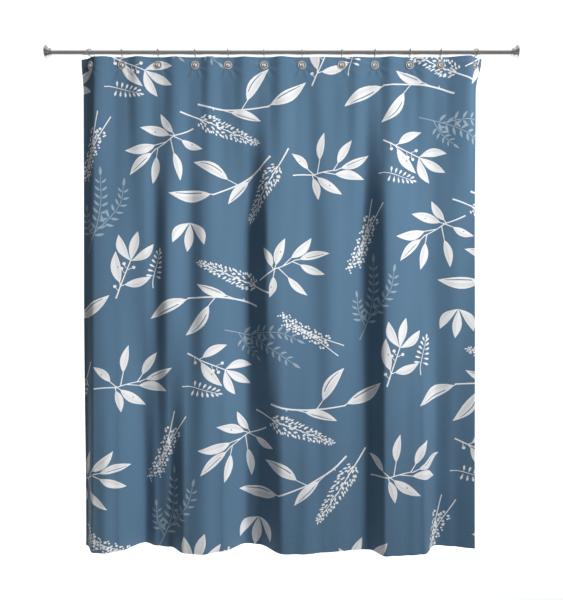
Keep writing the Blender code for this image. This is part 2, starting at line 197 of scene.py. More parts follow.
class StageSettings(bpy.types.PropertyGroup):
    """Camera, lights and the backdrop."""
    distance: size("Distance", "From the camera to the rod's plane", 2.15, 1.0, 10.0)
    height: size("Height", "Height of the camera from the rod's axis", -0.943, -3.0, 1.0)
    key: power("Key light", "Power of the far, wide lamp at the right", 3080.0)
    fill: power("Fill light", "Power of the near light above the viewer", 6.0)
    back: power("Backlight", "Power of the strip light above and behind the rod", 6.0)
    backdrop: tint("Backdrop", "Colour of the floor and wall", 0.93, 0.93, 0.93)


# ---------------------------------------------------------------- formulas

def columns(*parts):
    """Parts side by side along a last axis."""
    return np.stack(parts, axis=-1)


def circle(sides):
    """Cosine and sine of each turn of a circle cut in even sides."""
    turn = np.linspace(0.0, 2 * np.pi, sides, endpoint=False)
    return np.cos(turn), np.sin(turn)


def directions(path):
    """Unit slope of a flat path at each point, and the direction across it, to its left."""
    slope = np.gradient(path, axis=0)
    slope /= np.linalg.norm(slope, axis=1)[:, None]
    return slope, columns(-slope[:, 1], slope[:, 0])


def ease(value):
    """Smooth step from 0 to 1."""
    value = np.clip(value, 0.0, 1.0)
    return value * value * (3.0 - 2.0 * value)


def near(value, place, reach):
    """A bell curve: 1 at a place, falling to 1/e at a reach from it."""
    return np.exp(-((value - place) / reach) ** 2)


def along(points, share):
    """Depth at a share of the width, eased from each fold point to the next."""
    places, depths = np.array(points).T
    start = np.clip(np.searchsorted(places, share) - 1, 0, len(places) - 2)
    part = (share - places[start]) / (places[start + 1] - places[start])
    return depths[start] + (depths[start + 1] - depths[start]) * ease(part)


def smooth_curve(points, steps):
    """Points on a Catmull-Rom curve through the given ones: on each span a cubic whose slope at
    a point is half the way between its neighbours."""
    points = np.asarray(points, float)
    ends = np.vstack((2 * points[0] - points[1], points, 2 * points[-1] - points[-2]))
    t = np.linspace(0.0, 1.0, steps, endpoint=False)[:, None, None]
    a, b, c, d = ends[:-3], ends[1:-2], ends[2:-1], ends[3:]
    spans = 0.5 * (2 * b + (c - a) * t + (2 * a - 5 * b + 4 * c - d) * t ** 2
                   + (3 * b - a - 3 * c + d) * t ** 3)
    return np.vstack((spans.transpose(1, 0, 2).reshape(-1, points.shape[1]), points[-1:]))


def turned(profile, sides):
    """A closed (x, radius) outline turned about +X: x stays, and y and z are the radius times the
    cosine and sine of the turn. Returns points and quads, faces outwards for an outline that runs
    with x falling on its outside."""
    x, radius = np.asarray(profile, float).T
    cos, sin = circle(sides)
    rings = columns(np.broadcast_to(x[:, None], (len(x), sides)), np.outer(radius, cos),
                    np.outer(radius, sin))
    i, j = np.meshgrid(np.arange(len(x)), np.arange(sides), indexing='ij')
    i2, j2 = (i + 1) % len(x), (j + 1) % sides
    quads = columns(i * sides + j, i2 * sides + j, i2 * sides + j2, i * sides + j2)
    return rings.reshape(-1, 3), quads.reshape(-1, 4)


def swept(path, radii, sides):
    """Round wire along a path in the YZ plane: each ring is the path's point plus the radius times
    the cosine of the turn across the path and its sine along X. Both ends close on a point."""
    slope, across = directions(path)
    cos, sin = circle(sides)
    reach = radii[:, None, None]
    flat = path[:, None, :] - reach * across[:, None, :] * cos[None, :, None]
    rings = np.concatenate((reach * sin[None, :, None], flat), axis=-1)
    count = len(path)
    i, j = np.meshgrid(np.arange(count - 1), np.arange(sides), indexing='ij')
    j2 = (j + 1) % sides
    quads = columns(i * sides + j, (i + 1) * sides + j, (i + 1) * sides + j2, i * sides + j2)
    tips = np.array(((0.0, *(path[0] - slope[0] * radii[0] * 0.4)),
                     (0.0, *(path[-1] + slope[-1] * radii[-1] * 0.25))))
    first = count * sides
    caps = [(first, k, (k + 1) % sides) for k in range(sides)]
    caps += [(first + 1, first - sides + (k + 1) % sides, first - sides + k) for k in range(sides)]
    return np.vstack((rings.reshape(-1, 3), tips)), [*map(tuple, quads.reshape(-1, 4)), *caps]


def yawed(points, angle, origin):
    """Points turned about the vertical and moved to an origin."""
    cos, sin = math.cos(angle), math.sin(angle)
    matrix = np.array(((cos, -sin, 0.0), (sin, cos, 0.0), (0.0, 0.0, 1.0)))
    return points @ matrix.T + np.asarray(origin)


def add_object(name, data):
    """A new object in the scene."""
    obj = bpy.data.objects.new(name, data)
    bpy.context.scene.collection.objects.link(obj)
    return obj


def smooth_mesh(name, points, faces, material):
    """A smooth mesh with one material."""
    mesh = bpy.data.meshes.new(name)
    mesh.from_pydata([tuple(p) for p in points], [], [tuple(int(k) for k in f) for f in faces])
    mesh.materials.append(material)
    mesh.shade_smooth()
    return mesh


def new_piece(name, points, faces, material, body, replaced, sharp):
    """A piece that rides on a body. Edges that turn by more than sharp, in degrees, stay crisp."""
    mesh = smooth_mesh(name, points, faces, material)
    mesh.set_sharp_from_angle(angle=math.radians(sharp))
    mesh.validate()
    obj = add_object(name, mesh)
    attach(obj, body)
    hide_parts(*replaced)
    return obj


def refinish(obj, material, chosen):
    """Give the chosen faces, a mask over face numbers, a second material."""
    obj.data.materials.append(material)
    obj.data.polygons.foreach_set("material_index", np.asarray(chosen, dtype=np.int32))


# ---------------------------------------------------------------- finishes

def fill(tree, target, inputs):
    """Give inputs, by name or number, a value or a link from another node's output."""
    for key, value in inputs.items():
        if isinstance(value, bpy.types.NodeSocket):
            tree.links.new(value, target.inputs[key])
        else:
            target.inputs[key].default_value = value


def node(tree, kind, inputs=None, **settings):
    """Add a shader node with its settings, then fill its inputs."""
    new = tree.nodes.new("ShaderNode" + kind)
    for key, value in settings.items():
        setattr(new, key, value)
    fill(tree, new, inputs or {})
    return new


def empty_material(name, colour):
    """A named material with its tree and shader."""
    material = bpy.data.materials.new(name)
    material.use_nodes = True
    material.diffuse_color = (*colour, 1.0)
    tree = material.node_tree
    return material, tree, tree.nodes["Principled BSDF"]


def varied(tree, source, scale, colours, stretch=EVEN):
    """Noise at a scale that moves between two colours."""
    mapping = node(tree, "Mapping", {"Vector": source, "Scale": stretch})
    noise = node(tree, "TexNoise", {"Vector": mapping.outputs["Vector"], "Scale": scale, "Detail": 4.0})
    ramp = node(tree, "ValToRGB", {"Fac": noise.outputs["Fac"]})
    for stop, place, colour in zip(ramp.color_ramp.elements, (0.32, 0.68), colours):
        stop.position, stop.color = place, (*colour, 1.0)
    return noise.outputs["Fac"], ramp.outputs["Color"]


def add_relief(tree, shader, height, strength, distance):
    """Bump a shader's surface by a height."""
    bump = node(tree, "Bump", {"Height": height, "Strength": strength, "Distance": distance})
    tree.links.new(bump.outputs["Normal"], shader.inputs["Normal"])


def metal(name, colour, roughness, stretch=EVEN, scale=500.0, bump=0.05, metallic=1.0):
    """Bare metal: grain stretched one way moves its roughness and colour a little, with a fine bump."""
    material, tree, shader = empty_material(name, colour)
    place = node(tree, "TexCoord").outputs["Object"]
    dark = tuple(c * 0.86 for c in colour)
    grain, shade = varied(tree, place, scale, (dark, colour), stretch)
    spread = node(tree, "MapRange", {"Value": grain, "To Min": roughness * 0.75, "To Max": roughness * 1.3})
    fill(tree, shader, {"Base Color": shade, "Metallic": metallic, "Roughness": spread.outputs["Result"]})
    add_relief(tree, shader, grain, bump, 0.0002)
    return material


def weave_height(tree, flat):
    """Plain weave: the product of two sine bands across and along the flat cloth."""
    wave = {"Vector": flat, "Scale": 230.0, "Distortion": 0.6, "Detail": 1.0}
    threads = [node(tree, "TexWave", wave, bands_direction=direction).outputs["Fac"] for direction in "XY"]
    return node(tree, "Math", dict(enumerate(threads)), operation='MULTIPLY').outputs["Value"]


def cloth_material(name, colour, roughness, sheen, variation):
    """Woven cloth, dyed or inked: uneven colour at two scales, a weave in its bump, a soft sheen."""
    material, tree, shader = empty_material(name, colour)
    flat = node(tree, "UVMap", uv_map="flat").outputs["UV"]
    low = tuple(c * (1.0 - variation) for c in colour)
    high = tuple(min(1.0, c * (1.0 + variation * 0.5)) for c in colour)
    _, broad = varied(tree, flat, 7.0, (low, high), (1.0, 0.45, 1.0))
    slub, fine = varied(tree, flat, 420.0, (low, high), (1.0, 0.16, 1.0))
    mix = node(tree, "Mix", {"Factor": 0.45, "A": broad, "B": fine}, data_type='RGBA')
    fill(tree, shader, {"Base Color": mix.outputs["Result"], "Roughness": roughness,
                        "Specular IOR Level": 0.25, "Sheen Weight": sheen, "Sheen Roughness": 0.45})
    height = node(tree, "Math", {0: slub, 1: 0.5, 2: weave_height(tree, flat)}, operation='MULTIPLY_ADD')
    add_relief(tree, shader, height.outputs["Value"], 0.25, 0.0003)
    return material


# ---------------------------------------------------------------- the print

def bow(start, middle, end, steps=8):
    """Points on a quadratic curve from start to end, pulled towards middle."""
    t = np.linspace(0.0, 1.0, steps + 1)[:, None]
    start, middle, end = map(np.asarray, (start, middle, end))
    return start * (1 - t) ** 2 + middle * 2 * t * (1 - t) + end * t ** 2


def ribbon(path, thick, thin):
    """Outline of a stroke along a path whose width runs from thick to thin."""
    _, across = directions(path)
    half = np.linspace(thick, thin, len(path))[:, None] / 2
    return np.vstack((path + across * half, (path - across * half)[::-1]))


def leaf_half_width(t, full):
    """Share of a leaf's half width at a share t of its length: sin(pi t^full), so it is fullest
    before the middle when full is below 1 and past it when full is above 1."""
    return np.sin(np.pi * t ** full) ** 0.95


def leaf(base, tip, width, bend=0.0, steps=8, part=(0.0, 1.0), sides=(-1.0, 1.0), full=0.88):
    """Pointed outline: its middle line bows sideways by bend times its length, and each side stands
    off by a share of the half width. A part of the length or of the width makes a vein or a half."""
    base, tip = np.asarray(base, float), np.asarray(tip, float)
    run = tip - base
    across = np.array((-run[1], run[0]))
    t = np.linspace(*part, steps + 1)
    middle = base + np.outer(t, run) + np.outer(4 * t * (1 - t) * bend, across)
    half = leaf_half_width(t, full) * width / 2
    out = across / np.linalg.norm(across)
    left = middle + np.outer(half * sides[1], out)
    right = middle + np.outer(half * sides[0], out)
    return np.vstack((left, right[-2:0:-1])) if part == (0.0, 1.0) else np.vstack((left, right[::-1]))


def dot(centre, radius, steps=8):
    """Outline of a round dot."""
    return np.asarray(centre) + radius * columns(*circle(steps))


def toward(start, angle, length):
    """The point at a distance from start, at an angle in degrees."""
    turn = math.radians(angle)
    return np.asarray(start, float) + length * np.array((math.cos(turn), math.sin(turn)))


def stalked_leaf(start, angle, stalk, length, width, bend=0.06, slit=0.0, mark=False):
    """A leaf on a short stalk, half of it shaded, with a slit beside one edge or a small mark."""
    base = toward(start, angle, stalk)
    tip = toward(base, angle, length)
    stem = bow(start, toward(start, angle, stalk * 0.5), toward(base, angle, length * 0.12), 4)
    shapes = [(WHITE, ribbon(stem, 0.0038, 0.0026)), (WHITE, leaf(base, tip, width, bend)),
              (SHADE, leaf(base, tip, width, bend, 6, (0.12, 0.90), (-0.72, -0.05)))]
    if slit:
        shapes.append((GROUND, leaf(base, tip, width, bend, 6, (0.22, 0.84), (slit, slit + 0.17))))
    if mark:
        middle, reach = (base + tip) / 2, (tip - base) * 0.03
        shapes.append((GROUND, leaf(middle - reach, middle + reach, 0.0042, 0.0, 4)))
    return shapes


def draw_branch():
    """Seven leaves round a forked stem."""
    shapes = [(WHITE, ribbon(bow((-0.068, 0.016), (-0.03, 0.012), (0.004, 0.0)), 0.0048, 0.0040)),
              (WHITE, ribbon(bow((0.0, 0.0), (0.045, 0.004), (0.085, -0.004)), 0.0040, 0.0030))]
    # x, y, angle, stalk, length, width, bend
    leaves = ((0.0, 0.0, -92, 0.010, 0.082, 0.026, 0.05), (0.005, 0.0, -50, 0.014, 0.108, 0.033, -0.04),
              (0.035, 0.002, -24, 0.045, 0.108, 0.034, 0.07),
              (0.083, -0.004, 10, 0.020, 0.112, 0.031, -0.05),
              (0.075, -0.002, 44, 0.030, 0.098, 0.030, 0.04), (0.018, 0.001, 66, 0.050, 0.100, 0.027, 0.05),
              (0.006, 0.0, 122, 0.030, 0.080, 0.027, -0.07))
    for number, (x, y, angle, stalk, length, width, bend) in enumerate(leaves):
        shapes += stalked_leaf((x, y), angle, stalk, length, width, bend,
                               0.25 if number == 3 else 0.0, number in (1, 6))
    return shapes


def draw_open_stem():
    """A long stem with three slit leaves, one at its end and one on each side."""
    stem = smooth_curve(((0.0, 0.0), (0.07, -0.018), (0.16, -0.022), (0.27, -0.008)), 3)
    shapes = [(WHITE, ribbon(stem, 0.0070, 0.0050)),
              (WHITE, ribbon(bow((0.055, -0.016), (0.066, -0.028), (0.058, -0.024), 3), 0.0030, 0.0018))]
    shapes += stalked_leaf((0.262, -0.010), 33, 0.012, 0.160, 0.046, -0.06, 0.45)
    shapes += stalked_leaf((0.165, -0.022), 58, 0.040, 0.145, 0.042, 0.08, 0.30)
    shapes += stalked_leaf((0.090, -0.020), -17, 0.035, 0.120, 0.033, 0.05, -0.55)
    return shapes


def draw_spike(seeds=112):
    """A thick stem under a dense spike of small seeds, set round it by the golden angle."""
    shapes = [(WHITE, ribbon(bow((0.0, 0.0), (0.05, 0.006), (0.30, 0.0), 10), 0.0062, 0.0022))]
    start, length = 0.082, 0.235
    for number in range(seeds):
        t = (number + 0.5) / seeds
        lean = math.sin(number * 2.39996)
        half = 0.031 * min(1.0, 0.45 + t * 4.0) * (1.0 - t) ** 0.55 + 0.003
        centre = np.array((start + length * t + 0.004 * math.cos(number * 1.7), lean * half))
        angle = 52.0 * lean
        size = 0.0145 - 0.004 * t
        shapes.append((WHITE, leaf(toward(centre, angle, -size / 2), toward(centre, angle, size / 2),
                                   size * 0.46, 0.0, 4)))
    return shapes


def draw_frond(path, pairs, size, first=0.12, ink=PALE):
    """A thin stem with leaflets in pairs and one at its tip."""
    shapes = [(ink, ribbon(path, 0.0034, 0.0020))]
    slope = np.gradient(path, axis=0)
    for number in range(pairs):
        share = first + (1.0 - first) * number / pairs
        place = share * (len(path) - 1)
        low = int(place)
        start = path[low] + (path[min(low + 1, len(path) - 1)] - path[low]) * (place - low)
        heading = math.degrees(math.atan2(slope[low][1], slope[low][0]))
        scale = size * (1.0 - 0.35 * number / pairs)
        for side in (-1, 1):
            angle = heading + side * (58 - 14 * number / pairs)
            begin = toward(start, angle, 0.003)
            shapes.append((ink, leaf(begin, toward(begin, angle, scale), scale * 0.30, side * 0.05, 5)))
    heading = math.degrees(math.atan2(slope[-1][1], slope[-1][0]))
    shapes.append((ink, leaf(path[-1], toward(path[-1], heading, size), size * 0.30, 0.0, 5)))
    return shapes


def draw_fern():
    """Three pale fronds that fork from one stem."""
    main = smooth_curve(((0.0, 0.0), (0.10, -0.012), (0.20, -0.004), (0.30, 0.022)), 5)
    side = smooth_curve(((0.085, -0.010), (0.15, -0.045), (0.22, -0.070), (0.285, -0.065)), 4)
    low = smooth_curve(((0.055, -0.008), (0.10, 0.028), (0.155, 0.050)), 4)
    shapes = draw_frond(main, 8, 0.037, 0.25)
    shapes += draw_frond(side, 6, 0.034, 0.22)
    shapes += draw_frond(low, 4, 0.030, 0.25)
    return shapes


def petals(start, spread, width):
    """Slender petals that spread from one point, each (angle, length, bend), with one side shaded."""
    shapes = []
    for angle, length, bend in spread:
        tip = toward(start, angle, length)
        shapes.append((WHITE, leaf(start, tip, width, bend, 10, full=1.12)))
        shapes.append((SHADE, leaf(start, tip, width, bend, 8, (0.10, 0.94), (-0.80, -0.20), 1.12)))
    return shapes


def draw_sprig():
    """Three petals on a short stem with berries, over two leaves."""
    stem = smooth_curve(((0.0, 0.0), (0.055, -0.004), (0.16, -0.016)), 5)
    shapes = [(WHITE, ribbon(stem, 0.0056, 0.0036))]
    shapes += petals((0.152, -0.016), ((36, 0.108, 0.10), (0, 0.116, 0.02), (-38, 0.104, -0.11)), 0.033)
    shapes += stalked_leaf((0.050, -0.003), 20, 0.012, 0.122, 0.036, 0.06, 0.0, True)
    shapes += stalked_leaf((0.050, -0.004), -58, 0.014, 0.100, 0.033, -0.07)
    for x, y in ((0.116, 0.008), (0.136, 0.004), (0.130, -0.032), (0.044, 0.015)):
        shapes.append((WHITE, ribbon(bow((x - 0.014, y * 0.2 - 0.008), (x - 0.008, y * 0.6), (x, y), 3),
                                     0.0024, 0.0020)))
        shapes.append((WHITE, dot((x, y), 0.0064)))
    return shapes


def draw_feather():
    """A short plume of blunt petals in pairs round a thin stem."""
    stem = smooth_curve(((0.0, 0.0), (0.04, 0.008), (0.145, 0.002)), 5)
    shapes = [(WHITE, ribbon(stem, 0.0040, 0.0022))]
    for number in range(6):
        x = 0.052 + 0.0165 * number
        for side in (-1, 1):
            angle = side * (98 - 13 * number)
            begin = toward((x, 0.005), angle, 0.003)
            tip = toward(begin, angle, 0.031 - 0.0013 * number)
            shapes.append((WHITE, leaf(begin, tip, 0.0092, 0.0, 6, full=1.7)))
    shapes.append((WHITE, leaf((0.146, 0.002), (0.172, 0.002), 0.0088, 0.0, 6, full=1.6)))
    return shapes


def draw_bud():
    """Three petals that hang from one point."""
    return petals((0.0, 0.0), ((-35, 0.100, -0.13), (-1, 0.112, 0.02), (38, 0.102, 0.14)), 0.034)


def draw_stalks():
    """Two thin stalks side by side with small blossoms on both sides of their lower parts."""
    shapes = []
    for offset, reach, turn in ((0.0, 0.255, 0.02), (0.045, 0.225, -0.015)):
        stalk = smooth_curve(((0.0, offset), (reach * 0.5, offset + turn), (reach, offset + turn * 0.6)), 5)
        shapes.append((WHITE, ribbon(stalk, 0.0036, 0.0020)))
        for number in range(15):
            t = number / 14
            x = reach * (0.26 + 0.74 * t)
            y = offset + turn * (1.0 - 0.4 * t) * min(1.0, x / (reach * 0.5))
            for side in (-1, 1):
                gap = (0.0085 + 0.0045 * math.sin(number * 2.2)) * (1.0 - 0.35 * t)
                centre = (x + 0.004 * side, y + side * gap)
                shapes.append((WHITE, dot(centre, 0.0043 + 0.0010 * math.cos(number * 1.9 + side), 6)))
                if number % 2 == 0:
                    shapes.append((WHITE, dot((centre[0] + 0.007, centre[1] + side * 0.006), 0.0032, 6)))
    return shapes


DRAWINGS = {"branch": draw_branch, "open stem": draw_open_stem, "spike": draw_spike, "fern": draw_fern,
            "sprig": draw_sprig, "feather": draw_feather, "bud": draw_bud, "stalks": draw_stalks}

# one repeat of the print: drawing, u and v of its start, its heading in degrees, mirrored, size
REPEAT = (("fern", 0.03, 0.75, 75, False, 1.0), ("fern", 0.30, -0.10, -20, True, 1.0),
          ("branch", 0.435, 0.30, -145, False, 1.08), ("branch", 1.06, 0.45, 15, False, 1.05),
          ("branch", 0.89, 0.81, 22, True, 1.0), ("open stem", 0.54, 0.18, 0, False, 1.0),
          ("open stem", 0.87, 0.38, -149, True, 1.0), ("open stem", 0.80, 0.950, 175, False, 1.0),
          ("spike", 0.46, 0.21, -22, False, 1.0), ("spike", 0.95, 0.35, -120, False, 1.0),
          ("spike", 0.88, 0.90, 158, False, 1.0), ("sprig", 0.16, 0.92, 77, False, 1.0),
          ("sprig", 0.137, -0.011, -30, True, 1.0), ("feather", 0.12, 0.115, -12, False, 0.88),
          ("feather", 0.315, 0.88, 78, False, 0.92), ("bud", 0.49, 0.63, -95, False, 1.0),
          ("stalks", 0.09, 0.21, -111, False, 1.1), ("stalks", 1.20, 1.10, 150, False, 1.0))
REPEAT_STEPS = np.array(((0.345, 1.14), (1.24, 0.33)))      # the two (u, v) by which it is laid again
PRINT_WIDEN = 1.20                  # the print is wider on the flat cloth than it hangs


def print_shapes():
    """Every printed outline in flat cloth coordinates, as (ink, points), the later ones on top."""
    drawn = {name: draw() for name, draw in DRAWINGS.items()}
    shapes = []
    for name, u, v, heading, mirrored, size in REPEAT:
        turn = math.radians(heading)
        axis = np.array((math.cos(turn), -math.sin(turn)))
        side = np.array((-math.sin(turn), -math.cos(turn))) * (-1.0 if mirrored else 1.0)
        for down in range(-3, 4):
            for across in range(-2, 3):
                start = np.array((u, v)) + down * REPEAT_STEPS[0] + across * REPEAT_STEPS[1]
                if not (-0.6 < start[0] < CLOTH_WIDTH + 0.6 and -0.5 < start[1] < CLOTH_DROP + 0.5):
                    continue
                for ink, points in drawn[name]:
                    placed = (points[:, :1] * axis + points[:, 1:] * side) * size
                    placed = start + placed * (PRINT_WIDEN, 1.0)
                    inside = ((placed[:, 0] > 0) & (placed[:, 0] < CLOTH_WIDTH)
                              & (placed[:, 1] > 0) & (placed[:, 1] < CLOTH_DROP))
                    if inside.any():
                        shapes.append((ink, placed))
    return shapes


# ---------------------------------------------------------------- the hung cloth

def span_of(x):
    """Number of the span between two hooks that an x is in."""
    return np.clip(np.searchsorted(HOOK_X, x, side='right') - 1, 0, HOOKS - 2)


class Drape:
    """The hung cloth as a surface over (x, drop), and the table that lays the flat cloth on it."""

    def __init__(self, cloth):
        self.cloth = cloth
        self.rows = np.linspace(0.0, CLOTH_DROP, 189)
        self.columns = np.linspace(0.0, CLOTH_WIDTH, 1203)
        steps = np.linspace(0.0, 1.0, 1601)
        x = self.edge(0, self.rows)[:, None] * (1 - steps) + self.edge(-1, self.rows)[:, None] * steps
        y = self.depth(x, np.broadcast_to(self.rows[:, None], x.shape))
        length = np.hypot(np.diff(x, axis=1), np.diff(y, axis=1)).cumsum(axis=1)
        length = np.hstack((np.zeros((len(x), 1)), length))
        flat = length / length[:, -1:] * CLOTH_WIDTH
        self.spread = CLOTH_WIDTH / length[:, -1].mean()
        self.table = np.array([np.interp(self.columns, f, row) for f, row in zip(flat, x)])
        self.seams = np.array([[np.interp(place, row, f) for f, row in zip(flat, x)] for place in HOOK_X])

    @staticmethod
    def edge(index, drop):
        """X of the cloth's left (0) or right (-1) edge at a distance below its top edge."""
        top, below = LEFT_MARGIN if index == 0 else RIGHT_MARGIN
        margin = top + (below - top) * ease(drop / (HEADER_ZONE * 2))
        return HOOK_X[index] + (margin if index else -margin)

    @staticmethod
    def header(x):
        """Depth of the header: flat at each eyelet, and bowed towards the viewer between eyelets."""
        span = span_of(x)
        slopes = np.tan(HOOK_YAW)
        flats = FLAT_HALF * np.cos(HOOK_YAW)
        left, right = HOOK_X[span], HOOK_X[span + 1]
        start, end = left + flats[span], right - flats[span + 1]
        width = end - start
        t = np.clip((x - start) / width, 0.0, 1.0)
        low, high = slopes[span] * flats[span], -slopes[span + 1] * flats[span + 1]
        curve = (low + (high - low) * ease(t) + slopes[span] * width * t * (1 - t) ** 5
                 - slopes[span + 1] * width * t ** 5 * (1 - t))
        bulge = np.where(t < 0.42, ease(t / 0.42), 1.0 - ease((t - 0.42) / 0.58))
        depth = curve - HEADER_BULGE[span] * HEADER_EASE * bulge
        outside = np.minimum(x - left + flats[span], 0.0)
        before = np.maximum(x - left, -flats[span]) + outside * EDGE_SLOPE
        beyond = np.maximum(x - right - flats[span + 1], 0.0)
        after = np.minimum(x - right, flats[span + 1]) + beyond * EDGE_SLOPE
        depth = np.where(x <= start, slopes[span] * before, depth)
        return np.where(x >= end, slopes[span + 1] * after, depth)

    def creases(self, x, drop):
        """Small ridges that run from each eyelet, three to a side, and die away from it."""
        height = np.zeros(np.shape(x))
        for place in HOOK_X:
            across, down = x - place, drop - EYELET_INSET
            reach = np.hypot(across, down)
            turn = np.arctan2(down, np.abs(across) + 1e-9)
            pull = ease((reach - 0.018) / 0.016) * np.exp(-((reach - 0.02) / 0.050).clip(0) ** 1.5)
            for angle in (-0.15, 0.55, 1.15):
                height += pull * near(turn, angle, 0.17) * self.cloth.crease
        return -height

    def depth(self, x, drop):
        """Y of the cloth's middle surface: header, then folds, then the small unevenness of hung cloth."""
        left, right = self.edge(0, drop), self.edge(-1, drop)
        share = (x - left) / (right - left)
        below = np.maximum(0.0, drop - HEADER_ZONE)
        length = CLOTH_DROP - HEADER_ZONE
        to_middle = ease(below / (length * 0.36))
        to_hem = ease((below / length - 0.40) / 0.60)
        folds = along(MIDDLE_FOLDS, share) * (1.0 - to_hem) + along(HEM_FOLDS, share) * to_hem
        depth = self.header(x) * (1.0 - to_middle) + folds * to_middle
        calm = ease((drop - HEADER_ZONE * 0.8) / 0.12)
        uneven = sum(np.sin(x * across + drop * down + shift) * height
                     for across, down, shift, height in RIPPLES)
        hem_line = CLOTH_DROP - self.cloth.hem
        sewn = np.sin(x * 290.0 + np.sin(x * 41.0) * 2.0) * 0.00035
        free = np.sin(x * 120.0 + 1.0) * 0.0007
        pucker = near(drop, hem_line, 0.010) * sewn + near(drop, CLOTH_DROP, 0.02) * free
        seam = -0.0004 * near(drop, hem_line, 0.0022)
        return depth + calm * uneven + pucker + seam + self.creases(x, drop)

    def surface(self, x, drop):
        """Points of the middle surface: the top edge sinks between hooks, most beside the first one."""
        span = span_of(x)
        start, end = HOOK_X[span] + FLAT_HALF, HOOK_X[span + 1] - FLAT_HALF
        t = np.clip((x - start) / (end - start), 0.0, 1.0)
        sink = self.cloth.sag * np.sin(np.pi * t) ** 2
        sink = sink + 0.0045 * near(x, HOOK_X[0] + 0.030, 0.022)
        fade = 1.0 - ease(drop / 0.25)
        return columns(x, self.depth(x, drop), CLOTH_TOP - drop - sink * fade)

    def normals(self, x, drop, step=2e-4):
        """Unit normals towards the viewer, from the slopes along x and along the drop."""
        along_x = self.surface(x + step, drop) - self.surface(x - step, drop)
        down = self.surface(x, drop + step) - self.surface(x, drop - step)
        normal = np.cross(down, along_x)
        normal *= np.sign(-normal[:, 1:2])
        return normal / np.linalg.norm(normal, axis=1)[:, None]

    def x_of(self, flat):
        """X of flat points, read between the four nearest places of the table."""
        last_row, last_column = len(self.rows) - 1, len(self.columns) - 1
        column = np.clip(flat[:, 0] / CLOTH_WIDTH * last_column, 0, last_column - 1e-9)
        row = np.clip(flat[:, 1] / CLOTH_DROP * last_row, 0, last_row - 1e-9)
        i, j = row.astype(int), column.astype(int)
        a, b = row - i, column - j
        table = self.table
        return ((table[i, j] * (1 - b) + table[i, j + 1] * b) * (1 - a)
                + (table[i + 1, j] * (1 - b) + table[i + 1, j + 1] * b) * a)

    def side(self, panel, right, drop):
        """U of a panel's left or right side: the line below a hook, or the cloth's own edge."""
        if panel == 0 and not right:
            return np.zeros(np.shape(drop))
        if panel == PANELS - 1 and right:
            return np.full(np.shape(drop), CLOTH_WIDTH)
        return np.interp(drop, self.rows, self.seams[panel + right])


def panel_rows(cloth):
    """Drops at which a panel has points: close in the header and at the hem, wider between."""
    hem = CLOTH_DROP - cloth.hem
    rows = [*np.arange(0.0, 0.092, 0.004), *np.arange(0.092, 0.17, 0.008),
            *np.linspace(0.172, hem - 0.016, 108),
            hem - 0.008, hem - 0.003, hem - 0.0012, hem, hem + 0.0012, hem + 0.004,
            *np.linspace(hem + 0.012, CLOTH_DROP - 0.006, 4), CLOTH_DROP]
    return np.array(rows)


def side_edges(index, inset):
    """U of a line this far inside the cloth's own edge, if the panel has one."""
    return (inset,) if index == 0 else (CLOTH_WIDTH - inset,) if index == PANELS - 1 else ()


def panel_grid(drape, index):
    """Inner points of a panel, staggered from row to row and clear of its seams."""
    points, rows = [], panel_rows(drape.cloth)[1:-1]
    for number, drop in enumerate(rows):
        low, high = drape.side(index, 0, drop), drape.side(index, 1, drop)
        step = 0.0045 if drop < 0.10 else 0.0085
        count = max(2, int(round((high - low) / step)))
        shift = 0.25 if number % 2 else 0.75
        u = low + (high - low) * (np.arange(count) + shift) / count
        points.append(columns(u, np.full(count, drop)))
    for inset in (drape.cloth.side_hem, drape.cloth.side_hem + HEM_RAMP):
        for edge in side_edges(index, inset):
            points.append(columns(np.full(len(rows), edge), rows))
    return np.vstack(points)


def panel_outline(drape, index):
    """Border of a panel: down its left seam, along the bottom, up its right seam, back along the top."""
    rows = panel_rows(drape.cloth)
    left = columns(drape.side(index, 0, rows), rows)
    right = columns(drape.side(index, 1, rows), rows)[::-1]
    count = max(3, int((right[-1][0] - left[0][0]) / 0.0045))
    share = np.linspace(0.0, 1.0, count + 1)[1:-1, None]
    bottom = left[-1] + (right[0] - left[-1]) * share
    top = right[-1] + (left[0] - right[-1]) * share
    return np.vstack((left, bottom, right, top))


def anticlockwise(ring):
    """An outline with its inside on its left, from the sign of its area."""
    following = np.roll(ring, -1, axis=0)
    area = (ring[:, 0] * following[:, 1] - ring[:, 1] * following[:, 0]).sum()
    return ring if area > 0 else ring[::-1]


def cut_panel(drape, index, shapes):
    """Triangles of one panel on the flat cloth, split along every printed outline, and their inks.
    The first outline is the panel, the next ones are the eyelet holes, and the rest is the print."""
    outline = panel_outline(drape, index)
    outlines = [outline]
    hole = EYELET_BORE + BARREL_WALL + GAP
    for hook in (index, index + 1):
        centre = (np.interp(EYELET_INSET, drape.rows, drape.seams[hook]), EYELET_INSET)
        outlines.append(dot((0.0, 0.0), hole, 32) * (drape.spread, 1.0) + centre)
    holes = len(outlines)
    inks = [GROUND] * holes
    low, high = outline.min(axis=0), outline.max(axis=0)
    for ink, points in shapes:
        if (points.max(axis=0) > low).all() and (points.min(axis=0) < high).all():
            outlines.append(points)
            inks.append(ink)
    outlines = [anticlockwise(ring * (1.0, -1.0)) for ring in outlines]
    points = np.vstack((*outlines, panel_grid(drape, index) * (1.0, -1.0)))
    faces, first = [], 0
    for ring in outlines:
        faces.append(list(range(first, first + len(ring))))
        first += len(ring)
    flat, _, triangles, _, _, owners = delaunay_2d_cdt([tuple(p) for p in points], [], faces, 0, 1e-7, True)
    kept, ink_of = [], []
    for triangle, owner in zip(triangles, owners):
        if 0 not in owner or any(1 <= k < holes for k in owner):
            continue
        kept.append(triangle)
        ink_of.append(inks[max(owner)])
    flat = np.array([tuple(p) for p in flat]) * (1.0, -1.0)
    used, kept = np.unique(np.array(kept), return_inverse=True)
    return flat[used], kept.reshape(-1, 3), np.array(ink_of)


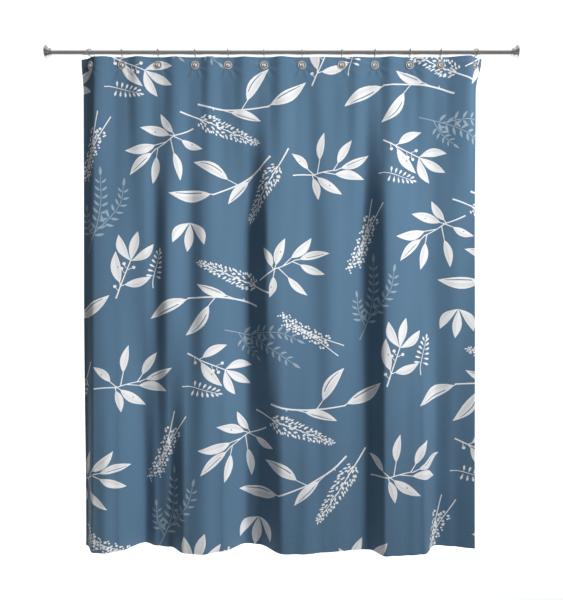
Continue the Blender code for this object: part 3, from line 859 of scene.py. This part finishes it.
def hem_share(flat, cloth):
    """1 where the cloth is folded back as a hem and 0 elsewhere, with a ramp of one millimetre."""
    u, v = flat.T
    inside = [TOP_HEM - v, v - (CLOTH_DROP - cloth.hem), cloth.side_hem - u + HEM_RAMP,
              u - (CLOTH_WIDTH - cloth.side_hem) + HEM_RAMP]
    return np.clip(np.max(inside, axis=0) / HEM_RAMP, 0.0, 1.0)


def stitches(drape, index, cloth):
    """Small thread ends over the hem lines, each an eight-sided bead from one hole to the next."""
    lines = []
    pitch, length = 0.0042, 0.0031
    for v in (CLOTH_DROP - cloth.hem + 0.0025, TOP_HEM - 0.0025):
        low, high = drape.side(index, 0, v), drape.side(index, 1, v)
        u = np.arange(math.ceil((low + 0.002) / pitch), math.floor((high - 0.004) / pitch)) * pitch
        none = np.zeros(len(u))
        lines.append(columns(u, none + v, none + length, none))
    for edge in side_edges(index, cloth.side_hem - 0.002):
        v = np.arange(0.010, CLOTH_DROP - 0.008, pitch)
        none = np.zeros(len(v))
        lines.append(columns(none + edge, v, none, none + length))
    return np.vstack(lines)


def stitch_mesh(drape, index, cloth):
    """Points and faces of a panel's stitches: two ends, two sides, a top and a bottom each."""
    lines = stitches(drape, index, cloth)
    start, run = lines[:, :2], lines[:, 2:]
    across = columns(-run[:, 1], run[:, 0]) / np.linalg.norm(run, axis=1)[:, None] * 0.00032
    middle = start + run / 2
    flat = np.stack((start, start + run, middle + across, middle - across, middle, middle), axis=1)
    lift = np.array((0.00005, 0.00005, 0.0001, 0.0001, 0.0004, -0.0002)) + cloth.thickness / 2
    count = len(lines)
    flat = flat.reshape(-1, 2)
    x = drape.x_of(flat)
    points = drape.surface(x, flat[:, 1]) + drape.normals(x, flat[:, 1]) * np.tile(lift, count)[:, None]
    corners = np.array(((0, 2, 4), (2, 1, 4), (1, 3, 4), (3, 0, 4),
                        (2, 0, 5), (1, 2, 5), (3, 1, 5), (0, 3, 5)))
    faces = (np.arange(count)[:, None, None] * 6 + corners).reshape(-1, 3)
    return flat, points, faces


def make_panel(drape, index, shapes, materials):
    """One panel of the cloth between two neighbouring hooks: a front and a back layer half a
    thickness off the middle surface along its normals, closed by a rim, with its hem's stitches."""
    cloth = drape.cloth
    flat, front, inks = cut_panel(drape, index, shapes)
    x = drape.x_of(flat)
    middle, out = drape.surface(x, flat[:, 1]), drape.normals(x, flat[:, 1])
    half = cloth.thickness / 2
    behind = half + 0.0005 * hem_share(flat, cloth)[:, None]
    count = len(flat)
    edges = np.vstack((front[:, (0, 1)], front[:, (1, 2)], front[:, (2, 0)]))
    keys = edges[:, 0] * count + edges[:, 1]
    rim = edges[~np.isin(keys, edges[:, 1] * count + edges[:, 0])]
    rims = columns(rim[:, 1], rim[:, 0], rim[:, 0] + count, rim[:, 1] + count)
    sewn_flat, sewn, sewn_faces = stitch_mesh(drape, index, cloth)
    points = np.vstack((middle + out * half, middle - out * behind, sewn))
    places = np.vstack((flat, flat, sewn_flat))
    back_inks = np.where(np.isin(inks, (WHITE, SHADE, PALE)), PRINT_BACK, GROUND_BACK)
    triangles = np.vstack((front, front[:, ::-1] + count, rims[:, (0, 1, 2)], rims[:, (0, 2, 3)],
                           sewn_faces + 2 * count))
    slots = np.concatenate((inks, back_inks, np.full(2 * len(rims), GROUND),
                            np.full(len(sewn_faces), THREAD)))
    name = f"cloth_panel_{index + 1:02d}"
    mesh = bpy.data.meshes.new(name)
    mesh.vertices.add(len(points))
    mesh.vertices.foreach_set("co", points.astype(np.float32).ravel())
    mesh.loops.add(triangles.size)
    mesh.loops.foreach_set("vertex_index", triangles.astype(np.int32).ravel())
    mesh.polygons.add(len(triangles))
    mesh.polygons.foreach_set("loop_start", np.arange(0, triangles.size, 3, dtype=np.int32))
    mesh.polygons.foreach_set("material_index", slots.astype(np.int32))
    layer = mesh.uv_layers.new(name="flat")
    layer.data.foreach_set("uv", places[triangles.ravel()].astype(np.float32).ravel())
    for material in materials:
        mesh.materials.append(material)
    mesh.update(calc_edges=True)
    mesh.shade_smooth()
    normals = np.vstack((out, -out, np.zeros((len(sewn), 3))))
    mesh.normals_split_custom_set_from_vertices([tuple(n) for n in normals])
    return add_object(name, mesh)


def declare_panel(drape, obj, index):
    """Bake a panel's place into its points and hide the cloth solids that it stands in for, two for the last
    panel. The end panels take in the cloth past the end hooks.
    """
    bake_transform(obj)
    last = index == PANELS - 1
    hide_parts(*(f"cloth_{number:02d}" for number in ((HOOKS - 1, HOOKS) if last else (index + 1,))))
    width = float((drape.side(index, 1, drape.rows) - drape.side(index, 0, drape.rows)).mean())


# ---------------------------------------------------------------- metal pieces

def hook_path():
    """Centre line of a hook in its own plane, (y, z): from behind the tube, over it, down in front,
    back under it, down behind the header, forward through the eyelet and down in front of it."""
    front, back = -(TUBE_RADIUS + ARCH_ROOM), TUBE_RADIUS + ARCH_ROOM
    behind = SOLID_THICKNESS / 2 + WIRE_RADIUS + 0.0040
    return [(back - 0.0012, -0.0085), (back, -0.0030), (back - 0.0004, 0.0030),
            (back - 0.0040, HOOK_TOP - 0.0040), (0.0045, HOOK_TOP - 0.0003), (-0.0030, HOOK_TOP + 0.0008),
            (front + 0.0055, HOOK_TOP - 0.0012), (front + 0.0008, HOOK_TOP - 0.0065),
            (front, -0.0010), (front + 0.0014, -0.0065), (front + 0.0062, -(HOOK_CROSS - 0.0022)),
            (-0.0035, -HOOK_CROSS), (0.0022, -HOOK_CROSS - 0.0006), (behind, CLOTH_TOP - 0.0020),
            (behind + 0.0008, CLOTH_TOP - 0.0120), (behind, HOOK_SEAT + 0.0060),
            (behind - 0.0024, HOOK_SEAT + 0.0010), (0.0, HOOK_SEAT), (-0.0028, HOOK_SEAT - 0.0004),
            (-0.0048, HOOK_SEAT - 0.0022), (-0.0058, HOOK_SEAT - 0.0040)]


def hook_wire():
    """The wire's smooth path and its radius, which swells into a ball at the front end."""
    path = smooth_curve(hook_path(), 5)
    radii = np.full(len(path), WIRE_RADIUS)
    radii[:3] = WIRE_RADIUS * np.array((0.55, 0.86, 0.97))
    forward = path[-1] - path[-2]
    forward /= np.linalg.norm(forward)
    steps = np.array(BALL_STEPS)
    ball = path[-1] + steps[:, None] * forward * BALL_RADIUS
    ball_radii = BALL_RADIUS * np.sqrt(np.maximum(0.02, 1.0 - (steps - 1.0) ** 2))
    ball_radii = np.maximum(ball_radii, np.where(steps < 1.0, WIRE_RADIUS, 0.0))
    return np.vstack((path, ball)), np.concatenate((radii, ball_radii))


def eyelet_profile():
    """Front ring and barrel, (x towards the viewer, radius): a rolled inner bead, a groove and a
    rolled outer bead, then flat on the cloth and back along the barrel."""
    face = SOLID_THICKNESS / 2 + GAP
    bore, rim = EYELET_BORE, EYELET_RADIUS
    rolled = smooth_curve(((face + 0.0004, bore), (face + 0.0017, bore + 0.0003),
                           (face + 0.0024, bore + 0.0016), (face + 0.0021, bore + 0.0030),
                           (face + 0.0010, bore + 0.0047),
                           (face + 0.0009, bore + 0.0060), (face + 0.0018, rim - 0.0033),
                           (face + 0.0023, rim - 0.0020), (face + 0.0018, rim - 0.0008),
                           (face + 0.0009, rim - 0.0001), (face, rim - 0.0002)), 4)
    barrel = bore + BARREL_WALL
    rest = ((face, barrel), (-face - 0.0008, barrel), (-face - 0.0008, bore))
    return [*map(tuple, rolled), *rest]


def washer_profile():
    """Domed washer that the barrel is clenched over, behind the cloth."""
    face = SOLID_THICKNESS / 2 + GAP
    hole = EYELET_BORE + BARREL_WALL + GAP
    rim = WASHER_RADIUS
    back = smooth_curve(((-face - 0.0003, rim), (-face - 0.0007, rim - 0.0010),
                         (-face - 0.0012, rim - 0.0034), (-face - 0.0013, (rim + hole) / 2),
                         (-face - 0.0011, hole + 0.0012),
                         (-face - 0.0008, hole)), 4)
    return [(-face, hole), (-face, rim), *map(tuple, back)]


def cover_profile():
    """Bell-shaped shell from the wall to a beaded collar round the tube, outside then inside."""
    depth, rim, collar = COVER_DEPTH, COVER_RADIUS, COLLAR_RADIUS
    bell_end = depth - 0.0065
    neck = collar - 0.0016
    steps = np.linspace(0.05, 0.97, 12)
    bell = columns(0.0038 + (bell_end - 0.0038) * steps,
                   neck + (rim - 0.0012 - neck) * (1.0 - np.sin(steps * np.pi / 2)) ** 0.9)
    lip = smooth_curve(((GAP, rim - 0.0004), (0.0020, rim), (0.0038, rim - 0.0012)), 4)
    bead = smooth_curve(((bell_end, neck), (bell_end + 0.0008, collar - 0.0003),
                         (bell_end + 0.0022, collar), (bell_end + 0.0035, collar - 0.0010),
                         (bell_end + 0.0042, collar - 0.0030)), 4)
    nose = smooth_curve(((bell_end + 0.0044, collar - 0.0033), (depth - 0.0008, collar - 0.0042),
                         (depth, collar - 0.0056)), 3)
    outside = np.vstack((lip, bell, bead, nose))
    bore = TUBE_RADIUS + GAP
    inside = [(depth, bore), (bell_end + 0.0022, bore), (bell_end + 0.0018, neck - COVER_WALL)]
    inside += [(x, radius - COVER_WALL) for x, radius in bell[::-1]]
    inside += [(0.0030, rim - COVER_WALL - 0.0008), (GAP, rim - COVER_WALL - 0.0004)]
    return [*map(tuple, outside), *inside]


# ---------------------------------------------------------------- operators

class CURTAIN_OT_rod(bpy.types.Operator):
    """Add the rod's tube between its two wall plates"""
    bl_idname = "curtain.add_rod"
    bl_label = "Rod"

    def execute(self, context):
        settings = context.scene.curtain_metal
        steel = metal("brushed_rod", settings.steel[:], settings.polish, (0.02, 1.0, 1.0), 700.0, 0.06)
        start, end = PLATE_THICKNESS + GAP, ROD_LENGTH - PLATE_THICKNESS - GAP
        inner = TUBE_RADIUS - TUBE_WALL
        ease_in = 0.0004
        profile = [(start, TUBE_RADIUS - ease_in), (start + ease_in, TUBE_RADIUS),
                   *((x, TUBE_RADIUS) for x in np.linspace(start, end, 40)[1:-1]),
                   (end - ease_in, TUBE_RADIUS), (end, TUBE_RADIUS - ease_in), (end, inner), (start, inner)]
        points, faces = turned(profile[::-1], SIDES_TUBE)
        new_piece("rod_tube_smooth", points, faces, steel, "rod", ("rod_tube",), 30)
        return {'FINISHED'}


class CURTAIN_OT_wall_fittings(bpy.types.Operator):
    """Finish the wall plates and screws that the covers hide"""
    bl_idname = "curtain.finish_fittings"
    bl_label = "Wall fittings"

    def execute(self, context):
        plate = metal("cast_plate", (0.42, 0.42, 0.43), 0.42, bump=0.12)
        screw = metal("screw_steel", (0.55, 0.55, 0.54), 0.30, scale=900.0)
        for name, obj in frame["nodes"].items():
            finish = plate if name.startswith("wall_plate") else screw
            if name.startswith(("wall_plate", "wall_screw", "set_screw")):
                obj.data.materials.clear()
                obj.data.materials.append(finish)
        return {'FINISHED'}


class CURTAIN_OT_covers(bpy.types.Operator):
    """Add the two bell-shaped flange covers"""
    bl_idname = "curtain.add_covers"
    bl_label = "Flange covers"

    def execute(self, context):
        settings = context.scene.curtain_metal
        polished = metal("polished_cover", settings.steel[:], 0.12, EVEN, 300.0, 0.02)
        points, faces = turned(cover_profile()[::-1], SIDES_COVER)
        for side, angle, x in (("left", 0.0, 0.0), ("right", math.pi, ROD_LENGTH)):
            new_piece("cover_" + side, yawed(points, angle, (x, 0.0, 0.0)), faces, polished,
                      "cover_" + side, ("flange_cover_" + side,), 40)
        return {'FINISHED'}


class CURTAIN_OT_hooks(bpy.types.Operator):
    """Add the twelve wire hooks with their ball ends"""
    bl_idname = "curtain.add_hooks"
    bl_label = "Hooks"

    def execute(self, context):
        colour = context.scene.curtain_metal.wire[:]
        wire = metal("bright_wire", colour, 0.32, (1.0, 1.0, 0.2), 600.0, 0.03, 0.55)
        polished = metal("ball_metal", (0.62, 0.57, 0.52), 0.12, EVEN, 400.0, 0.02)
        path, radii = hook_wire()
        points, faces = swept(path, radii, SIDES_WIRE)
        ball = [max(face) >= (len(path) - len(BALL_STEPS)) * SIDES_WIRE for face in faces]
        ball[-2 * SIDES_WIRE:-SIDES_WIRE] = [False] * SIDES_WIRE      # the cap at the wire's plain end
        for index, place in enumerate(HOOK_X):
            number = f"{index + 1:02d}"
            turned_points = yawed(points, HOOK_YAW[index], (place, 0.0, 0.0))
            hook = new_piece("wire_" + number, turned_points, faces, wire,
                             "hanger_" + number, ("hook_" + number,), 50)
            refinish(hook, polished, ball)
        return {'FINISHED'}


class CURTAIN_OT_eyelets(bpy.types.Operator):
    """Add the twelve eyelets and the washers behind the cloth"""
    bl_idname = "curtain.add_eyelets"
    bl_label = "Eyelets"

    def execute(self, context):
        colour = context.scene.curtain_metal.eyelet
        bright = metal("eyelet_metal", tuple(min(1.0, c * 1.18) for c in colour), 0.24, metallic=0.35)
        # painted shade: the hollow between the eyelet's beads takes a dark copy of its metal in place of the shade
        # that falls there
        groove = metal("groove_metal", (0.30, 0.28, 0.26), 0.35, metallic=0.8)
        plain = metal("washer_metal", tuple(c * 0.85 for c in colour), 0.34)
        kinds = (("ring_", eyelet_profile(), bright, "eyelet_"),
                 ("washer_", washer_profile(), plain, "eyelet_washer_"))
        for index in range(HOOKS):
            number = f"{index + 1:02d}"
            for name, profile, finish, replaced in kinds:
                points, faces = turned(profile, SIDES_EYELET)
                # its own +X is turned to face the viewer
                points = yawed(points, HOOK_YAW[index] - math.pi / 2, (HOOK_X[index], 0.0, EYELET_Z))
                piece = new_piece(name + number, points, faces, finish, "hanger_" + number,
                                  (replaced + number,), 40)
                # the faces in the hollow between the two beads take the painted shade
                if finish is bright:
                    radii = np.array(profile)[:, 1]
                    middles = np.repeat((radii + np.roll(radii, -1)) / 2, SIDES_EYELET)
                    refinish(piece, groove, (middles > PAINTED_SHADE_RADII[0]) & (middles < PAINTED_SHADE_RADII[1]))
        return {'FINISHED'}


class CURTAIN_OT_cloth(bpy.types.Operator):
    """Add the printed cloth as panels between neighbouring hooks"""
    bl_idname = "curtain.add_cloth"
    bl_label = "Cloth"

    def execute(self, context):
        cloth = context.scene.curtain_cloth
        ground, white, pale = cloth.ground[:], cloth.white[:], cloth.pale[:]
        materials = [
            cloth_material("cloth_ground", ground, 0.78, 0.12, 0.06),
            cloth_material("ink_white", white, 0.70, 0.05, 0.02),
            cloth_material("ink_shade", tuple(c * 0.90 for c in white), 0.70, 0.05, 0.05),
            cloth_material("ink_pale", pale, 0.72, 0.08, 0.10),
            cloth_material("hem_thread", tuple(c * 1.25 for c in ground), 0.65, 0.20, 0.05),
            cloth_material("cloth_reverse", tuple(c * 1.12 + 0.02 for c in ground), 0.85, 0.15, 0.08),
            cloth_material("print_reverse", tuple(c * 1.25 + 0.06 for c in ground), 0.85, 0.12, 0.08)]
        drape = Drape(cloth)
        shapes = print_shapes()
        for index in range(PANELS):
            declare_panel(drape, make_panel(drape, index, shapes, materials), index)
        return {'FINISHED'}


def add_lamp(name, kind, place, target, power, **settings):
    """A lamp at a place, turned at its target, that metal doesn't mirror."""
    light = bpy.data.lights.new(name, kind)
    light.energy = power
    for key, value in settings.items():
        setattr(light, key, value)
    obj = add_object(name, light)
    obj.visible_glossy = False
    obj.location = place
    obj.rotation_euler = (Vector(target) - Vector(place)).to_track_quat('-Z', 'Y').to_euler()


def studio_world():
    """Dim surroundings for the cloth. The metal mirrors them brighter, as a studio's grey cards:
    light overhead, darker above eye level, mid grey at and below it."""
    world = bpy.data.worlds.new("studio")
    bpy.context.scene.world = world
    world.use_nodes = True
    tree = world.node_tree
    direction = node(tree, "TexCoord").outputs["Generated"]
    split = node(tree, "SeparateXYZ", {"Vector": direction})
    spread = node(tree, "MapRange", {"From Min": -1.0, "Value": split.outputs["Z"]})
    ramp = node(tree, "ValToRGB", {"Fac": spread.outputs["Result"]})
    stops = ramp.color_ramp.elements
    stops[0].color = (0.34, 0.34, 0.35, 1.0)
    stops[1].color = (1.0, 1.0, 1.0, 1.0)
    for position, value in ((0.30, 0.36), (0.48, 0.30), (0.60, 0.17), (0.72, 0.19), (0.84, 0.60)):
        stops.new(position).color = (value, value, value * 1.02, 1.0)
    mirrored = node(tree, "Background", {"Color": ramp.outputs["Color"]})
    plain = tree.nodes["Background"]
    fill(tree, plain, {"Color": (0.95, 0.97, 1.0, 1.0), "Strength": 0.045})
    glossy = node(tree, "LightPath").outputs["Is Glossy Ray"]
    mix = node(tree, "MixShader", {"Fac": glossy, 1: plain.outputs[0], 2: mirrored.outputs[0]})
    fill(tree, tree.nodes["World Output"], {"Surface": mix.outputs["Shader"]})


class CURTAIN_OT_stage(bpy.types.Operator):
    """Add the backdrop, the lights and the camera"""
    bl_idname = "curtain.add_stage"
    bl_label = "Stage"

    def execute(self, context):
        settings = context.scene.curtain_stage
        middle = ROD_LENGTH / 2
        self.add_backdrop(settings, middle)
        studio_world()
        # the key lamp fades all the way from its axis to its cone's edge
        add_lamp("key", 'SPOT', (middle + 6.1, -4.9, 1.6), (middle + 0.05, 0.0, -0.44), settings.key,
                 shadow_soft_size=1.1, spot_size=math.radians(33.0), spot_blend=1.0)
        add_lamp("fill", 'AREA', (middle + 0.5, -1.9, 0.35), (middle, 0.0, -0.5), settings.fill,
                 shape='RECTANGLE', size=1.2, size_y=0.8)
        add_lamp("backlight", 'AREA', (middle, 0.35, 1.6), (middle, 0.7, -1.0), settings.back,
                 shape='RECTANGLE', size=3.4, size_y=0.2)
        camera = bpy.data.cameras.new("camera")
        camera.lens = 33.84
        camera.sensor_width = 36.0
        obj = add_object("camera", camera)
        obj.location = (middle, -settings.distance, settings.height)
        obj.rotation_euler = (math.pi / 2, 0.0, 0.0)
        context.scene.camera = obj
        context.scene.view_settings.view_transform = 'Standard'
        return {'FINISHED'}

    @staticmethod
    def add_backdrop(settings, middle):
        """Floor and wall in one sheet: a profile (y, z) with a quarter circle in the corner, along X.
        It glows white behind the cloth and is plain paper in front of it."""
        floor, wall, bend, top = -2.14, 6.5, 1.2, 3.8
        turn = np.linspace(0.0, np.pi / 2, 17)
        corner = columns(wall - bend + bend * np.sin(turn), floor + bend - bend * np.cos(turn))
        profile = np.vstack(((-5.0, floor), corner, (wall, top)))
        points = np.array([(x, y, z) for x in (middle - 9.0, middle + 9.0) for y, z in profile])
        count = len(profile)
        faces = [(count + k, count + k + 1, k + 1, k) for k in range(count - 1)]
        colour = settings.backdrop[:]
        material, tree, shader = empty_material("backdrop_paper", colour)
        place = node(tree, "TexCoord").outputs["Object"]
        _, shade = varied(tree, place, 2.0, (tuple(c * 0.995 for c in colour), colour))
        split = node(tree, "SeparateXYZ", {"Vector": place})
        glow = node(tree, "MapRange", {"Value": split.outputs["Y"], "From Min": -0.1, "From Max": 0.25})
        fill(tree, shader, {"Base Color": shade, "Roughness": 0.9, "Emission Color": (1.0, 1.0, 1.0, 1.0),
                            "Emission Strength": glow.outputs["Result"]})
        obj = add_object("backdrop", smooth_mesh("backdrop", points, faces, material))


STEPS = (CURTAIN_OT_stage, CURTAIN_OT_wall_fittings, CURTAIN_OT_rod, CURTAIN_OT_covers, CURTAIN_OT_hooks,
         CURTAIN_OT_eyelets, CURTAIN_OT_cloth)


class CURTAIN_PT_panel(bpy.types.Panel):
    """Settings and steps of the curtain"""
    bl_idname = "CURTAIN_PT_panel"
    bl_label = "Shower Curtain"
    bl_space_type = 'VIEW_3D'
    bl_region_type = 'UI'
    bl_category = "Curtain"

    def draw(self, context):
        for name in GROUPS:
            box = self.layout.box()
            group = getattr(context.scene, name)
            for prop in group.__annotations__:
                box.prop(group, prop)
        for step in STEPS:
            self.layout.operator(step.bl_idname)


GROUPS = {"curtain_cloth": ClothSettings, "curtain_metal": MetalSettings, "curtain_stage": StageSettings}


def register():
    for item in (*GROUPS.values(), *STEPS, CURTAIN_PT_panel):
        bpy.utils.register_class(item)
    for name, group in GROUPS.items():
        setattr(bpy.types.Scene, name, PointerProperty(type=group))


def unregister():
    for name in GROUPS:
        delattr(bpy.types.Scene, name)
    for item in reversed((*GROUPS.values(), *STEPS, CURTAIN_PT_panel)):
        bpy.utils.unregister_class(item)


def main():
    register()
    bpy.ops.curtain.add_stage()
    bpy.ops.curtain.finish_fittings()
    bpy.ops.curtain.add_rod()
    bpy.ops.curtain.add_covers()
    bpy.ops.curtain.add_hooks()
    bpy.ops.curtain.add_eyelets()
    bpy.ops.curtain.add_cloth()
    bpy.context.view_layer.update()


if __name__ == "__main__":
    main()
